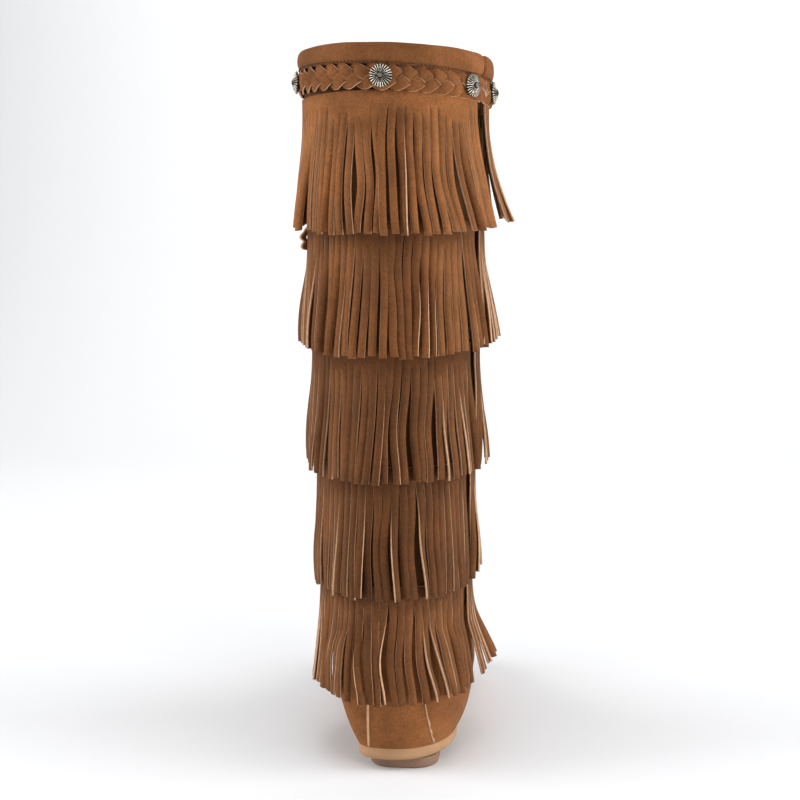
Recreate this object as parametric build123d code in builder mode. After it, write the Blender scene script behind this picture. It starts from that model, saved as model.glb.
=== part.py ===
"""Left boot of a knee-high fringed moccasin, in millimetres.

+Z is up, +Y is towards the toe and +X is the inner (medial) side.
The origin is the centre of the heel lift's tread, on the ground.
"""

import functools
import math
import os

from build123d import *

# Driving dimensions -----------------------------------------------------------
SUEDE = 2.0  # thickness of the upper's suede
ANKLE_Z = 92.0  # where the moccasin part ends and the shaft starts
SHAFT_TOP = 420.0  # where the shaft ends and the cuff sits on it
BOOT_TOP = 432.6
ANKLE_OVAL = (-9.5, 23.5, 45.5, 60.5)  # centre x, centre y, half width, half depth
COLLAR_OVAL = (-10.0, 23.5, 57.0, 59.5)  # the same at the shaft's top
OUTER_SEAM_ANGLE = 190.0  # on the shaft's oval, from +X
SEAM_GAP = 0.05  # keeps neighbouring panels from sharing a face edge
STIFFENER = 1.2  # thickness of the heel stiffener
STIFFENER_GAP = 0.7  # between it and the suede
STIFFENER_FRONT = 8.0
STIFFENER_RISE = (16.0, 56.0)

# Side profiles of the sole, as (y, z) corners that get rounded
SOLE_TOP_LINE = [(-70, 14.2), (25, 14.2), (100, 9.6), (165, 9.6), (240, 17.0)]
SOLE_UNDER_LINE = [(-70, 6.5), (32, 6.5), (92, 2.5), (172, 2.5), (240, 9.5)]
PROFILE_ROUNDING = 60.0
SOLE_EDGE_ROUNDING = 3.4
LIFT_HEIGHT = 6.5
LIFT_CENTRE_X = -0.5
LIFT_WIDTH = 42.0
LIFT_REAR = -30.5
LIFT_FRONT = 22.0
LIFT_CORNER = 15.5  # radius of the rear corners in plan
LIFT_ROUNDING = 1.2
BREAST_RADIUS = 48.0
BREAST_DEPTH = 5.0
TREAD_HEIGHT = 2.5
TREAD_REAR = 96.0
TREAD_FRONT = 168.0
TREAD_INSET = 5.0  # from the midsole's outline
SOLE_STOCK = 40.0  # height of the stock the sole's layers are cut from
BOARD_THICK = 1.5
BOARD_INSET = 5.4
FOOTBED_INSET = 5.6
FOOTBED_TOP = 5.0  # above the midsole

# Horizontal sections of the foot form, from the sole up to the ankle:
# z, (rear x, y), (heel y, outer x, inner x), (waist ...), (ball ...), (front x, y)
FORM_SECTIONS = [
    (0.0, (-14, -37.0), (-4, -27.2, 28.0), (58, -37.0, 26.0), (134, -54.0, 33.0), (-6, 211.0)),
    (14.0, (-14, -37.0), (-4, -27.2, 28.0), (58, -37.0, 26.0), (134, -54.0, 33.0), (-6, 211.0)),
    (25.0, (-12, -39.5), (-3, -33.0, 33.4), (58, -42.0, 31.5), (133, -56.5, 34.5), (-6, 210.5)),
    (37.0, (-8, -40.5), (-2, -38.2, 36.5), (55, -45.5, 35.5), (130, -52.5, 32.0), (-6, 203.0)),
    (47.0, (-6, -40.0), (0, -42.0, 37.6), (50, -48.0, 37.5), (118, -45.5, 29.0), (-6, 187.0)),
    (56.0, (-6, -39.5), (1, -44.5, 37.5), (44, -50.0, 38.0), (102, -40.5, 27.0), (-6, 160.0)),
    (66.0, (-6, -39.0), (2, -46.5, 36.5), (36, -51.5, 37.5), (82, -40.5, 26.5), (-6, 130.0)),
    (78.0, (-8, -38.0), (2, -49.0, 34.5), (29, -53.5, 36.5), (62, -43.5, 27.5), (-7.5, 102.0)),
    (92.0, (-9.5, -37.0), (0, -51.4, 32.4), (23.5, -55.0, 36.0), (50, -50.4, 31.4), (-9.5, 84.0)),
]
HEEL_FULLNESS = (0.72, 0.84)  # inner and outer corners; 0.707 is a true oval corner
TOE_FULLNESS = 0.74
ANKLE_FULLNESS = 0.66  # follows the shaft's oval at the ankle
FULL_UP_TO = 50.0  # height where the corners start to follow the shaft's oval

# Side edges of the panel up the back of the heel, as (x, z)
HEEL_PANEL_OUTER = [(-20.5, 0), (-20.5, 45), (-16, 93)]
HEEL_PANEL_INNER = [(20.5, 0), (14, 42), (9, 93)]

# The apron's U over the toes: a round front on two nearly straight sides
APRON_CENTRE = (-9.0, 156.0)
APRON_RADIUS = 25.0
APRON_TOE = 4.0  # how much longer than round its front is
APRON_LENGTH = 116.0
APRON_TAPER = 8.0  # of the inner side
APRON_STITCHES = 25
APRON_STITCH = (7.0, 2.0)
APRON_SEWN_LENGTH = 50.0  # of each straight side
APRON_THREAD = 1.3  # how far the stitches stand out
APRON_SEWN_TOP = 60.0  # height they reach up to

# Fringe layers from the top down: z of the strip's top and of its hem
FRINGE_LAYERS = [(409.0, 322.0), (331.0, 250.0), (258.0, 176.5), (185.0, 105.5)]
FRINGE_LEATHER = 2.0
FRINGE_TOP_GAP = 0.3  # between the strip's top and the shaft
FRINGE_HEM_GAP = 6.0  # the hem hangs clear of the next strip down
ANKLE_FRINGE_TOP = 113.0
ANKLE_FRINGE_GAP = 1.0
ANKLE_FRINGE_HEM = [(-90, 37), (62, 37), (150, 70), (240, 103)]

# Zip, on a straight line down the inner side of the shaft
ZIP_ANGLE = -20.0  # on the shaft's oval, from +X
ZIP_TOP = 400.0
ZIP_BOTTOM = 118.0
ZIP_SLOT = 12.0  # width of the opening between the shaft's two edges
ZIP_TAPE_HALF = 9.0
ZIP_TAPE_THICK = 0.8
ZIP_TAPE_DEPTH = 3.5  # of the tape's outer face below the shaft's surface
TOOTH = (2.2, 2.0, 1.7)  # across, along and out of the tape
TOOTH_PITCH = 4.0
TOOTH_GAP = 1.4  # between the two rows, where the slider's post runs
FRINGE_GAP = 15.0  # opening in each fringe strip over the zip
STOP_SIZE = (8.0, 2.4, 2.0)  # the bottom stop; each top stop is one row wide
SLIDER_WIDTH = 8.6
SLIDER_LENGTH = 9.0
SLIDER_AT = -9.0  # the slider's centre along the zip, at rest
SLIDER_PLATE = 1.4
SLIDER_ROOM = 0.35  # between the slider's plates and what runs between them
SLIDER_POST = (0.8, 5.0)
BRIDGE_POST = (1.6, 1.4, 2.4)
BRIDGE_REACH = 3.0  # of each post from the slider's centre
BRIDGE_BAR = (1.6, 7.4, 0.9)
BRIDGE_LIFT = 1.7
PULL_THICK = 1.0
PULL_EYE = (6.4, 7.1, 1.6)  # width, length and corner radius
PULL_EYE_HOLE = (2.3, 5.0)
PULL_TAB = (6.4, 20.0, 2.0)
PULL_TAB_AT = -12.0  # from the eye, along the pull
PULL_HOLE = (1.8, -18.0)  # radius and place

# Collar trim, which slopes down towards the inner side; the cuff's top slopes less
COLLAR_TILT = 3.4
CUFF_TOP_TILT = 2.3
LACE_BOTTOM = 405.6
LACE_HEIGHT = 4.5
LACE_STEP = 4.7
LACE_INNER = 0.8  # gap between the shaft and the braid
LACE_OUTER = 3.4
LACE_GAP = 3.0  # the braid's opening over the zip
CUFF_INNER = -4.0
CUFF_OUTER = 3.6
CUFF_ROUNDING = 3.7
CUFF_GAP = 1.6
CONCHO_ANGLES = [-92, -36, -7, 55, 126, 196]  # on the shaft's oval, from +X
CONCHO_RADIUS = 6.9
CONCHO_DOME = 2.5
CONCHO_RIM = 0.9
CONCHO_Z = 412.8
CONCHO_GAP = 0.8  # between the braid and a concho
RIVET_RADIUS = 1.2
RIVET_HEAD = (3.6, 0.8)
RIVET_HEAD_GAP = 0.45  # under the shaft's lining side
RIVET_HOLE = RIVET_RADIUS + 0.05
RIVET_HOLE_DEPTH = 8.0
RIVET_HOLE_REACH = 12.0

WIDE = 160.0  # reach of the cutting blocks
PARTS = "parts"


# Shared shapes ------------------------------------------------------------------
def finish(piece, name):
    """Labels a finished piece and writes it as its own STEP file."""
    piece.label = name
    export_step(piece, os.path.join(PARTS, name + ".step"))
    return piece


def corner(start, side, fullness):
    """A point that rounds the corner between an end point and a side point."""
    return (start[0] + (side[0] - start[0]) * fullness,
            side[1] + (start[1] - side[1]) * fullness)


def section_points(row, inset):
    """Twelve points round one horizontal section, moved in by inset."""
    z, rear, heel, waist, ball, front = row
    front_x, front_y = front[0], front[1] - inset
    rear_x, rear_y = rear[0], rear[1] + inset
    share = max(0, (z - FULL_UP_TO) / (ANKLE_Z - FULL_UP_TO))
    toe_fullness = TOE_FULLNESS + (ANKLE_FULLNESS - TOE_FULLNESS) * share
    sides = []
    for sign, k, fullness in ((1, 2, HEEL_FULLNESS[0]), (-1, 1, HEEL_FULLNESS[1])):
        heel_fullness = fullness + (ANKLE_FULLNESS - fullness) * share
        heel_side, waist_side, ball_side = ((s[k] - sign * inset, s[0])
                                            for s in (heel, waist, ball))
        sides.append([
            corner((rear_x, rear_y), heel_side, heel_fullness),
            heel_side,
            waist_side,
            ball_side,
            corner((front_x, front_y), ball_side, toe_fullness),
        ])
    inner, outer = sides
    return [(rear_x, rear_y), *inner, (front_x, front_y), *reversed(outer)]


@functools.cache
def foot_form(inset, drop=0.0):
    """The moccasin's foot volume, moved in by inset and its top lowered by drop."""
    with BuildPart() as form:
        for row in FORM_SECTIONS:
            lowered = drop if row[0] > 14 else 0
            with BuildSketch(Plane.XY.offset(row[0] - lowered)):
                with BuildLine():
                    Spline(*section_points(row, inset), periodic=True)
                make_face()
        loft()
    return form.part


def sole_prism(inset, height):
    """The sole's plan outline, extruded from the ground."""
    with BuildPart() as prism:
        with BuildSketch():
            with BuildLine():
                Spline(*section_points(FORM_SECTIONS[0], inset), periodic=True)
            make_face()
        extrude(amount=height)
    return prism.part


def profile_band(lower, upper):
    """A slab across the boot between two (y, z) side profiles."""
    with BuildPart() as band:
        with BuildSketch(Plane.YZ):
            with BuildLine():
                low = FilletPolyline(*lower, radius=PROFILE_ROUNDING)
                high = FilletPolyline(*upper, radius=PROFILE_ROUNDING)
                Line(low @ 0, high @ 0)
                Line(low @ 1, high @ 1)
            make_face()
        extrude(amount=WIDE, both=True)
    return band.part


def raised(profile, by):
    return [(y, z + by) for y, z in profile]


def level_band(lower, z):
    """A slab from a side profile up to a level."""
    with BuildPart() as band:
        with BuildSketch(Plane.YZ):
            with BuildLine():
                low = FilletPolyline(*lower, radius=PROFILE_ROUNDING)
                Polyline(low @ 0, ((low @ 0).X, z), ((low @ 1).X, z), low @ 1)
            make_face()
        extrude(amount=WIDE, both=True)
    return band.part


def oval_at(z):
    """Centre and half sizes of the shaft's outer oval at a height."""
    share = (z - ANKLE_Z) / (SHAFT_TOP - ANKLE_Z)
    return [a + (b - a) * share for a, b in zip(ANKLE_OVAL, COLLAR_OVAL)]


def oval_cone(low, low_offset, high, high_offset):
    """The shaft's tapering oval between two heights, each end offset outwards."""
    with BuildPart() as cone:
        for z, offset_by in ((low, low_offset), (high, high_offset)):
            centre_x, centre_y, half_x, half_y = oval_at(z)
            with BuildSketch(Plane.XY.offset(z)):
                with Locations((centre_x, centre_y)):
                    Ellipse(half_x + offset_by, half_y + offset_by)
        loft(ruled=True)
    return cone.part


def collar_plane(z, degrees=COLLAR_TILT):
    """The sloping plane that crosses the collar's centre line at z."""
    tilt = math.radians(degrees)
    return Plane(origin=(COLLAR_OVAL[0], COLLAR_OVAL[1], z),
                 x_dir=(math.cos(tilt), 0, -math.sin(tilt)),
                 z_dir=(math.sin(tilt), 0, math.cos(tilt)))


def above_collar(z, degrees=COLLAR_TILT):
    """Everything above one of the collar's sloping planes, as a cutting block."""
    with BuildPart() as block:
        with BuildSketch(collar_plane(z, degrees)):
            Rectangle(WIDE, WIDE)
        extrude(amount=60)
    return block.part


def concho_place(angle, out):
    """A point in the middle of the sloping braid, and its outward normal."""
    level, _ = surface_point(angle, CONCHO_Z)
    drop = (level.X - COLLAR_OVAL[0]) * math.tan(math.radians(COLLAR_TILT))
    return surface_point(angle, CONCHO_Z - drop, out)


def surface_point(angle, z, out=0.0):
    """A point on the shaft at an oval angle, and its outward normal."""
    centre_x, centre_y, half_x, half_y = oval_at(z)
    c, s = math.cos(math.radians(angle)), math.sin(math.radians(angle))
    normal = Vector(half_y * c, half_x * s, 0).normalized()
    return Vector(centre_x + half_x * c, centre_y + half_y * s, z) + normal * out, normal


def zip_plane():
    """Origin at the zip's top on the shaft's surface: x across, y up the zip, z out."""
    top, normal = surface_point(ZIP_ANGLE, ZIP_TOP)
    bottom, _ = surface_point(ZIP_ANGLE, ZIP_BOTTOM)
    up = (top - bottom).normalized()
    across = up.cross(normal).normalized()
    return Plane(origin=top, x_dir=across, z_dir=across.cross(up))


ZIP = zip_plane()
ZIP_LENGTH = (surface_point(ZIP_ANGLE, ZIP_TOP)[0] - surface_point(ZIP_ANGLE, ZIP_BOTTOM)[0]).length


def zip_block(width, low, high, inward, outward):
    """A block over the zip line, from low to high along it, measured from its top."""
    with BuildPart() as block:
        with BuildSketch(ZIP.offset(-inward)):
            with Locations((0, (low + high) / 2)):
                Rectangle(width, high - low)
        extrude(amount=inward + outward)
    return block.part


def zip_cut(width):
    """The vertical opening over the zip line through a ring of collar trim or fringe."""
    return zip_block(width, -ZIP_LENGTH - 90, 60, 24, 40)


# Sole -----------------------------------------------------------------------------
def make_midsole():
    with BuildPart() as midsole:
        add(sole_prism(0, SOLE_STOCK))
        add(profile_band(SOLE_UNDER_LINE, SOLE_TOP_LINE), mode=Mode.INTERSECT)
        underside = midsole.faces().filter_by(lambda f: f.normal_at().Z < -0.9)
        fillet(underside.edges() - shared_edges(underside), radius=SOLE_EDGE_ROUNDING)
    return finish(midsole.part, "midsole")


def shared_edges(faces):
    """Edges that two of the faces have in common."""
    shared = ShapeList()
    for i, face in enumerate(faces):
        for other in faces[i + 1:]:
            for edge in face.edges():
                shared += [e for e in other.edges() if e.is_same(edge)]
    return shared


def make_heel_lift():
    with BuildPart() as lift:
        with BuildSketch() as outline:
            with Locations((LIFT_CENTRE_X, (LIFT_REAR + LIFT_FRONT) / 2)):
                Rectangle(LIFT_WIDTH, LIFT_FRONT - LIFT_REAR)
            fillet(outline.vertices().group_by(Axis.Y)[0], LIFT_CORNER)
            with Locations((LIFT_CENTRE_X, LIFT_FRONT + BREAST_RADIUS - BREAST_DEPTH)):
                Circle(BREAST_RADIUS, mode=Mode.SUBTRACT)
        extrude(amount=LIFT_HEIGHT)
        fillet(lift.faces().sort_by(Axis.Z)[0].edges(), radius=LIFT_ROUNDING)
    return finish(lift.part, "heel_lift")


def make_forepart_tread():
    with BuildPart() as tread:
        add(sole_prism(TREAD_INSET, SOLE_STOCK))
        add(level_block(TREAD_REAR, TREAD_FRONT, 0, TREAD_HEIGHT), mode=Mode.INTERSECT)
    return finish(tread.part, "forepart_tread")


def level_block(y_low, y_high, z_low, z_high):
    with BuildPart() as block:
        with Locations((0, (y_low + y_high) / 2, z_low)):
            Box(2 * WIDE, y_high - y_low, z_high - z_low,
                align=(Align.CENTER, Align.CENTER, Align.MIN))
    return block.part


def make_insole_board():
    with BuildPart() as board:
        add(sole_prism(BOARD_INSET, SOLE_STOCK))
        add(profile_band(SOLE_TOP_LINE, raised(SOLE_TOP_LINE, BOARD_THICK)), mode=Mode.INTERSECT)
    return finish(board.part, "insole_board")


def make_footbed():
    with BuildPart() as footbed:
        add(sole_prism(FOOTBED_INSET, SOLE_STOCK))
        add(profile_band(raised(SOLE_TOP_LINE, BOARD_THICK), raised(SOLE_TOP_LINE, FOOTBED_TOP)),
            mode=Mode.INTERSECT)
    return finish(footbed.part, "footbed")


# Moccasin part ----------------------------------------------------------------------
def foot_shell():
    """The upper's suede between two foot forms, standing on the sole's top profile."""
    with BuildPart() as mouth:
        add(foot_form(SUEDE))
        add(level_block(-WIDE, 2 * WIDE, ANKLE_Z - SUEDE - 0.5, ANKLE_Z + 1),
            mode=Mode.INTERSECT)
    with BuildPart() as shell:
        add(foot_form(0))
        add(foot_form(SUEDE, SUEDE), mode=Mode.SUBTRACT)
        add(mouth.part, mode=Mode.SUBTRACT)
        add(level_band(SOLE_TOP_LINE, BOOT_TOP), mode=Mode.INTERSECT)
    return shell.part


def heel_wedge(extra=0.0):
    """The heel panel's outline, seen from behind, as a cutting block."""
    with BuildPart() as wedge:
        with BuildSketch(Plane.XZ.offset(5)):
            with BuildLine():
                left = [(x - extra, z) for x, z in HEEL_PANEL_OUTER]
                right = [(x + extra, z) for x, z in HEEL_PANEL_INNER]
                Polyline(*left, *reversed(right), close=True)
            make_face()
        extrude(amount=90)
    return wedge.part


def apron_prism(grow=0.0):
    """The apron's U-shaped plan outline as a cutting block."""
    x, y = APRON_CENTRE
    radius = APRON_RADIUS + grow
    rear = y - APRON_LENGTH
    with BuildPart() as prism:
        with BuildSketch():
            with BuildLine():
                ThreePointArc((x - radius, y), (x, y + radius + APRON_TOE), (x + radius, y))
                Polyline((x + radius, y), (x + radius - APRON_TAPER, rear),
                         (x - radius, rear), (x - radius, y))
            make_face()
        extrude(amount=BOOT_TOP)
    return prism.part


def make_heel_panel(shell):
    with BuildPart() as panel:
        add(shell)
        add(heel_wedge(), mode=Mode.INTERSECT)
    return finish(panel.part, "heel_panel")


def make_apron(shell):
    with BuildPart() as apron:
        add(shell)
        add(apron_prism(), mode=Mode.INTERSECT)
    return finish(apron.part, "apron")


def make_moccasin_wrap(shell):
    with BuildPart() as wrap:
        add(shell)
        add(heel_wedge(SEAM_GAP), mode=Mode.SUBTRACT)
        add(apron_prism(SEAM_GAP), mode=Mode.SUBTRACT)
    return finish(wrap.part, "moccasin_wrap")


def make_heel_stiffener():
    with BuildPart() as stiffener:
        add(foot_form(SUEDE + STIFFENER_GAP))
        add(foot_form(SUEDE + STIFFENER_GAP + STIFFENER), mode=Mode.SUBTRACT)
        add(level_block(-WIDE, STIFFENER_FRONT, *STIFFENER_RISE), mode=Mode.INTERSECT)
    return finish(stiffener.part, "heel_stiffener")


# Shaft --------------------------------------------------------------------------------
def lateral_block():
    """Everything in front of the shaft's outer side seam and its zip."""
    centre_x, centre_y, _, _ = oval_at((ANKLE_Z + SHAFT_TOP) / 2)
    out = 3 * WIDE
    seam = math.radians(OUTER_SEAM_ANGLE)
    zip_side = math.radians(ZIP_ANGLE)
    with BuildPart() as block:
        with BuildSketch():
            with BuildLine():
                Polyline(
                    (centre_x, centre_y),
                    (centre_x + out * math.cos(zip_side), centre_y + out * math.sin(zip_side)),
                    (centre_x + out, centre_y + out),
                    (centre_x - out, centre_y + out),
                    (centre_x + out * math.cos(seam), centre_y + out * math.sin(seam)),
                    close=True)
            make_face()
        extrude(amount=2 * BOOT_TOP)
    return block.part


def make_shaft():
    with BuildPart() as tube:
        add(oval_cone(ANKLE_Z, 0, BOOT_TOP, 0))
        add(oval_cone(ANKLE_Z, -SUEDE, BOOT_TOP, -SUEDE), mode=Mode.SUBTRACT)
        add(above_collar(SHAFT_TOP), mode=Mode.SUBTRACT)
        add(zip_block(ZIP_SLOT, -ZIP_LENGTH, 60, 12, 12), mode=Mode.SUBTRACT)
        for angle in CONCHO_ANGLES:
            add(radial_pin(angle, RIVET_HOLE, -RIVET_HOLE_DEPTH, RIVET_HOLE_REACH),
                mode=Mode.SUBTRACT)
    front_half = lateral_block()
    with BuildPart() as front:
        add(tube.part)
        add(front_half, mode=Mode.INTERSECT)
    with BuildPart() as back:
        add(tube.part)
        add(front_half, mode=Mode.SUBTRACT)
    finish(front.part, "shaft_front")
    finish(back.part, "shaft_back")


def radial_pin(angle, radius, start, end):
    """A cylinder behind a concho, between two distances from the shaft's surface."""
    origin, normal = concho_place(angle, start)
    with BuildPart() as pin:
        with BuildSketch(Plane(origin=origin, z_dir=normal)):
            Circle(radius)
        extrude(amount=end - start)
    return pin.part


# Fringe ---------------------------------------------------------------------------------
def make_fringe(index, top, hem):
    with BuildPart() as fringe:
        add(oval_cone(hem, FRINGE_HEM_GAP + FRINGE_LEATHER, top, FRINGE_TOP_GAP + FRINGE_LEATHER))
        add(oval_cone(hem, FRINGE_HEM_GAP, top, FRINGE_TOP_GAP), mode=Mode.SUBTRACT)
        add(zip_cut(FRINGE_GAP), mode=Mode.SUBTRACT)
        add(above_collar(LACE_BOTTOM - 0.5), mode=Mode.SUBTRACT)
    return finish(fringe.part, f"fringe_{index}")


def make_ankle_fringe(index):
    gap = ANKLE_FRINGE_GAP
    outer = gap + FRINGE_LEATHER
    with BuildPart() as solid:
        add(foot_form(-outer, -FRINGE_LEATHER))
        add(oval_cone(ANKLE_Z + 1, outer, ANKLE_FRINGE_TOP, outer))
    with BuildPart() as hollow:
        add(foot_form(-gap))
        add(oval_cone(ANKLE_Z - 1, gap, ANKLE_FRINGE_TOP + 1, gap))
    with BuildPart() as fringe:
        add(solid.part)
        add(hollow.part, mode=Mode.SUBTRACT)
        add(level_band(ANKLE_FRINGE_HEM, ANKLE_FRINGE_TOP), mode=Mode.INTERSECT)
        add(zip_cut(FRINGE_GAP), mode=Mode.SUBTRACT)
    return finish(fringe.part, f"fringe_{index}")


# Collar trim -----------------------------------------------------------------------------
def trim_ring(low, height, inner, outer, gap):
    """A ring round the shaft's collar, open over the zip."""
    _, _, half_x, half_y = COLLAR_OVAL
    with BuildPart() as ring:
        with BuildSketch(collar_plane(low)):
            Ellipse(half_x + outer, half_y + outer)
            Ellipse(half_x + inner, half_y + inner, mode=Mode.SUBTRACT)
        extrude(amount=height)
        add(zip_cut(gap), mode=Mode.SUBTRACT)
    return ring.part


def make_braid():
    for step, name in enumerate(("braid_lace_lower", "braid_lace_middle", "braid_lace_upper")):
        with BuildPart() as lace:
            add(trim_ring(LACE_BOTTOM + step * LACE_STEP, LACE_HEIGHT, LACE_INNER, LACE_OUTER,
                          LACE_GAP))
            for angle in CONCHO_ANGLES:
                add(radial_pin(angle, RIVET_HOLE, -RIVET_HOLE_DEPTH, RIVET_HOLE_REACH),
                    mode=Mode.SUBTRACT)
        finish(lace.part, name)


def make_cuff():
    _, _, half_x, half_y = COLLAR_OVAL
    with BuildPart() as cuff:
        with BuildSketch(collar_plane(SHAFT_TOP)):
            Ellipse(half_x + CUFF_OUTER, half_y + CUFF_OUTER)
            Ellipse(half_x + CUFF_INNER, half_y + CUFF_INNER, mode=Mode.SUBTRACT)
        extrude(amount=BOOT_TOP - SHAFT_TOP + 6)
        add(above_collar(BOOT_TOP, CUFF_TOP_TILT), mode=Mode.SUBTRACT)
        fillet(cuff.faces().sort_by(Axis.Z)[-1].edges(), CUFF_ROUNDING)
        add(zip_cut(CUFF_GAP), mode=Mode.SUBTRACT)
    return finish(cuff.part, "cuff")


def concho_dome():
    """One concho with its back on the local XY plane."""
    ball = (CONCHO_RADIUS ** 2 + CONCHO_DOME ** 2) / (2 * CONCHO_DOME)
    with BuildPart() as dome:
        with BuildSketch(Plane.XZ):
            with BuildLine():
                Line((0, 0), (CONCHO_RADIUS, 0))
                Line((CONCHO_RADIUS, 0), (CONCHO_RADIUS, CONCHO_RIM))
                RadiusArc((CONCHO_RADIUS, CONCHO_RIM), (0, CONCHO_DOME + CONCHO_RIM), -ball)
                Line((0, CONCHO_DOME + CONCHO_RIM), (0, 0))
            make_face()
        revolve(axis=Axis.Z)
    return dome.part


def make_conchos():
    dome = concho_dome()
    with BuildPart() as conchos:
        for angle in CONCHO_ANGLES:
            origin, normal = concho_place(angle, LACE_OUTER + CONCHO_GAP)
            with Locations(Plane(origin=origin, z_dir=normal)):
                add(dome)
    finish(conchos.part, "conchos")
    with BuildPart() as rivets:
        for angle in CONCHO_ANGLES:
            head_radius, head = RIVET_HEAD
            under = -SUEDE - RIVET_HEAD_GAP
            add(radial_pin(angle, RIVET_RADIUS, under - 0.1, LACE_OUTER + CONCHO_GAP))
            add(radial_pin(angle, head_radius, under - head, under))
    finish(rivets.part, "concho_rivets")


# Zip ----------------------------------------------------------------------------------------
def zip_box(x, y, z, size):
    """A box in the zip's frame: centred at x and y, standing out from z."""
    with BuildPart() as box:
        with BuildSketch(ZIP.offset(z)):
            with Locations((x, y)):
                Rectangle(size[0], size[1])
        extrude(amount=size[2])
    return box.part


def make_zip_sides():
    tape_z = -ZIP_TAPE_DEPTH - ZIP_TAPE_THICK
    inner_edge = TOOTH_GAP / 2 + 0.2
    width = ZIP_TAPE_HALF - inner_edge
    across = TOOTH_GAP / 2 + TOOTH[0] / 2
    count = int((ZIP_LENGTH - 8) // TOOTH_PITCH)
    for sign, side in ((-1, "back"), (1, "front")):
        tape = zip_box(sign * (inner_edge + width / 2), -ZIP_LENGTH / 2, tape_z,
                       (width, ZIP_LENGTH, ZIP_TAPE_THICK))
        finish(tape, f"zip_tape_{side}")
        with BuildPart() as teeth:
            for i in range(count):
                half_step = TOOTH_PITCH / 2 if sign > 0 else 0
                add(zip_box(sign * across, -6 - i * TOOTH_PITCH - half_step, -ZIP_TAPE_DEPTH,
                            TOOTH))
        finish(teeth.part, f"zip_teeth_{side}")


def make_zip_stops():
    across = TOOTH_GAP / 2 + TOOTH[0] / 2
    with BuildPart() as top:
        for sign in (-1, 1):
            add(zip_box(sign * across, -1.6, -ZIP_TAPE_DEPTH, (TOOTH[0], *STOP_SIZE[1:])))
    finish(top.part, "zip_top_stops")
    bottom = zip_box(0, 1.6 - ZIP_LENGTH, -ZIP_TAPE_DEPTH, STOP_SIZE)
    finish(bottom, "zip_bottom_stop")


def slider_plate_top():
    """Height of the slider's outer face from the shaft's surface."""
    return -ZIP_TAPE_DEPTH + TOOTH[2] + SLIDER_ROOM + SLIDER_PLATE


def make_zip_slider():
    top = slider_plate_top()
    under = -ZIP_TAPE_DEPTH - ZIP_TAPE_THICK - SLIDER_ROOM - SLIDER_PLATE
    size = (SLIDER_WIDTH, SLIDER_LENGTH)
    lower_size = (SLIDER_WIDTH - 1, SLIDER_LENGTH - 1)
    with BuildPart() as slider:
        add(zip_box(0, SLIDER_AT, top - SLIDER_PLATE, (*size, SLIDER_PLATE)))
        fillet(slider.edges().filter_by(lambda e: abs(e.tangent_at(0).dot(ZIP.z_dir)) > 0.9), 2.0)
        add(zip_box(0, SLIDER_AT, under, (*lower_size, SLIDER_PLATE)))
        add(zip_box(0, SLIDER_AT + 1.5, under + SLIDER_PLATE / 2,
                    (*SLIDER_POST, top - under - SLIDER_PLATE)))
        for reach in (-BRIDGE_REACH, BRIDGE_REACH):
            add(zip_box(0, SLIDER_AT + reach, top - 0.2, BRIDGE_POST))
        add(zip_box(0, SLIDER_AT, top + BRIDGE_LIFT, BRIDGE_BAR))
    return finish(slider.part, "zip_slider")


def make_zip_pull():
    eye_at = SLIDER_AT - 1.2
    middle = slider_plate_top() + BRIDGE_LIFT / 2
    with BuildPart() as pull:
        with BuildSketch(ZIP.offset(middle - PULL_THICK / 2)):
            with Locations((0, eye_at - 0.35)):
                RectangleRounded(*PULL_EYE)
            with Locations((0, eye_at + PULL_TAB_AT)):
                RectangleRounded(*PULL_TAB)
            with Locations((0, eye_at - 0.4)):
                Rectangle(*PULL_EYE_HOLE, mode=Mode.SUBTRACT)
            with Locations((0, eye_at + PULL_HOLE[1])):
                Circle(PULL_HOLE[0], mode=Mode.SUBTRACT)
        extrude(amount=PULL_THICK)
    return finish(pull.part, "zip_pull")


# Apron stitching -------------------------------------------------------------------------
def make_apron_stitches():
    with BuildPart() as pads:
        for i in range(APRON_STITCHES):
            x, y, turn = apron_edge((i + 0.5) / APRON_STITCHES)
            with Locations(Location((x, y, 0), (0, 0, turn))):
                Box(*APRON_STITCH, 2 * APRON_SEWN_TOP)
    with BuildPart() as stitches:
        add(foot_form(-APRON_THREAD, -APRON_THREAD))
        add(foot_form(0), mode=Mode.SUBTRACT)
        add(pads.part, mode=Mode.INTERSECT)
        add(level_band(SOLE_TOP_LINE, APRON_SEWN_TOP), mode=Mode.INTERSECT)
    return finish(stitches.part, "apron_stitches")


def apron_edge(along):
    """A point on the apron's edge from its outer end round the toe, and its direction."""
    x, y = APRON_CENTRE
    arc = math.pi * (APRON_RADIUS + APRON_TOE / 2)
    at = along * (arc + 2 * APRON_SEWN_LENGTH)
    if at < APRON_SEWN_LENGTH:
        return x - APRON_RADIUS, y - APRON_SEWN_LENGTH + at, 0
    past = at - APRON_SEWN_LENGTH - arc
    if past > 0:
        return x + APRON_RADIUS - past * APRON_TAPER / APRON_LENGTH, y - past, 0
    turn = (at - APRON_SEWN_LENGTH) / arc * math.pi
    return (x - APRON_RADIUS * math.cos(turn),
            y + (APRON_RADIUS + APRON_TOE) * math.sin(turn), 180 - math.degrees(turn))


def main():
    os.makedirs(PARTS, exist_ok=True)
    make_midsole()
    make_heel_lift()
    make_forepart_tread()
    make_insole_board()
    make_footbed()
    shell = foot_shell()
    make_heel_panel(shell)
    make_apron(shell)
    make_moccasin_wrap(shell)
    make_heel_stiffener()
    make_shaft()
    for index, (top, hem) in enumerate(FRINGE_LAYERS, 1):
        make_fringe(index, top, hem)
    make_ankle_fringe(5)
    make_braid()
    make_cuff()
    make_conchos()
    make_zip_sides()
    make_zip_stops()
    make_zip_slider()
    make_zip_pull()
    make_apron_stitches()


main()
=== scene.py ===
"""The look of a fringed moccasin boot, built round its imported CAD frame, in metres."""

import math
import random

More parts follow.
